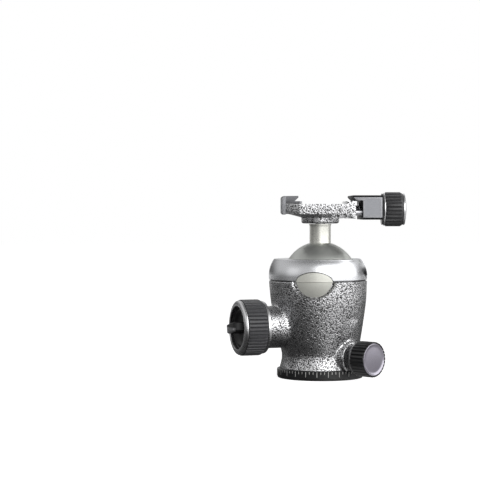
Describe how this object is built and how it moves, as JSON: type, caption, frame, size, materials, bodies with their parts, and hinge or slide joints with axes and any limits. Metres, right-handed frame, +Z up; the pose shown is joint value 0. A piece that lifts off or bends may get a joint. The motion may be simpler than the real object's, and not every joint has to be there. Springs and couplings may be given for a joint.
{
  "type": "tripod ball head",
  "caption": "Tripod ball head with panning base, slanted housing, drop notch, locking knobs, friction dial and dovetail quick-release clamp.",
  "frame": {"origin": "centre of the base's underside, where the tripod's screw enters, on the ball's axis", "axes": "+Z up along the panning axis; +X from the clamp's fixed jaw toward its knob; -Y is the front, with the almond cap"},
  "size_m": [0.1152, 0.0698, 0.1171],
  "materials": {
    "speckled_paint": "hammertone paint",
    "satin_silver": "satin",
    "coated_ball": "hard anodised",
    "warm_grey_metal": "satin",
    "black_metal": "black anodised",
    "black_rubber": "matte",
    "grey_anodised": "anodised",
    "steel": "bright",
    "brass": "turned",
    "polymer": "moulded",
    "mauve_cap": "glossy anodised"
  },
  "bodies": {
    "pan_base": {"base_plate": "black_metal", "degree_scale": "black_metal", "thread_bushing": "steel", "pan_spindle": "black_metal"},
    "head": {"housing": "speckled_paint", "collar": "satin_silver", "front_cap": "warm_grey_metal", "upper_seat": "polymer", "lower_seat": "polymer", "lock_plunger": "steel", "lock_bush": "brass", "pan_brake_shoe": "brass", "bearing_ring": "brass", "thrust_washer": "polymer"},
    "main_knob": {"main_lock_screw": "steel", "main_knob_rear_ring": "satin_silver", "main_knob_core": "black_metal", "main_knob_grip": "black_rubber", "main_knob_front_ring": "satin_silver", "friction_spring": "steel"},
    "dial": {"friction_dial": "black_metal", "friction_screw": "steel"},
    "pan_knob": {"pan_lock_screw": "steel", "pan_knob_core": "black_metal", "pan_knob_grip": "black_rubber", "pan_knob_cap": "mauve_cap"},
    "ball_and_stem": {"ball": "coated_ball", "stem": "warm_grey_metal"},
    "clamp": {"clamp_body": "speckled_paint", "clamp_bolt": "steel", "fixed_jaw": "grey_anodised", "fixed_jaw_screw_front": "steel", "fixed_jaw_screw_rear": "steel", "guide_pin_front": "steel", "guide_pin_rear": "steel"},
    "jaw": {"movable_jaw": "grey_anodised"},
    "clamp_knob": {"clamp_screw": "steel", "screw_clip": "steel", "clamp_knob_core": "black_metal", "clamp_knob_ring": "satin_silver", "clamp_knob_grip": "black_rubber", "clamp_knob_cap": "satin_silver"}
  },
  "joints": [
    {"name": "pan_turn", "type": "hinge", "parent": "pan_base", "child": "head", "pos_m": [0, 0, 0.006], "axis": [0, 0, 1], "continuous": true},
    {"name": "main_knob_turn", "type": "hinge", "parent": "head", "child": "main_knob", "pos_m": [0, 0, 0.0325], "axis": [-0.9426, -0.3338, 0], "range_deg": [0, 270]},
    {"name": "friction_dial_turn", "type": "hinge", "parent": "main_knob", "child": "dial", "pos_m": [0, 0, 0.0325], "axis": [-0.9426, -0.3338, 0], "range_deg": [-180, 180]},
    {"name": "pan_knob_turn", "type": "hinge", "parent": "head", "child": "pan_knob", "pos_m": [0, 0, 0.0138], "axis": [0.7071, -0.7071, 0], "range_deg": [0, 360]},
    {"name": "ball_tilt", "type": "hinge", "parent": "head", "child": "ball_and_stem", "pos_m": [0, 0, 0.0621], "axis": [0.2588, 0.9659, 0], "range_deg": [-36, 70]},
    {"name": "ball_swivel", "type": "hinge", "parent": "ball_and_stem", "child": "clamp", "pos_m": [0, 0, 0.097], "axis": [0, 0, 1], "continuous": true},
    {"name": "clamp_knob_turn", "type": "hinge", "parent": "jaw", "child": "clamp_knob", "pos_m": [0, 0, 0.1063], "axis": [1, 0, 0], "range_deg": [-900, 2250]},
    {"name": "jaw_slide", "type": "slide", "parent": "clamp", "child": "jaw", "axis": [1, 0, 0], "range_m": [-0.002, 0.005]}
  ],
  "couplings": [
    {"joint": "clamp_knob_turn", "follows": "jaw_slide", "rad_per_m": 7854}
  ]
}
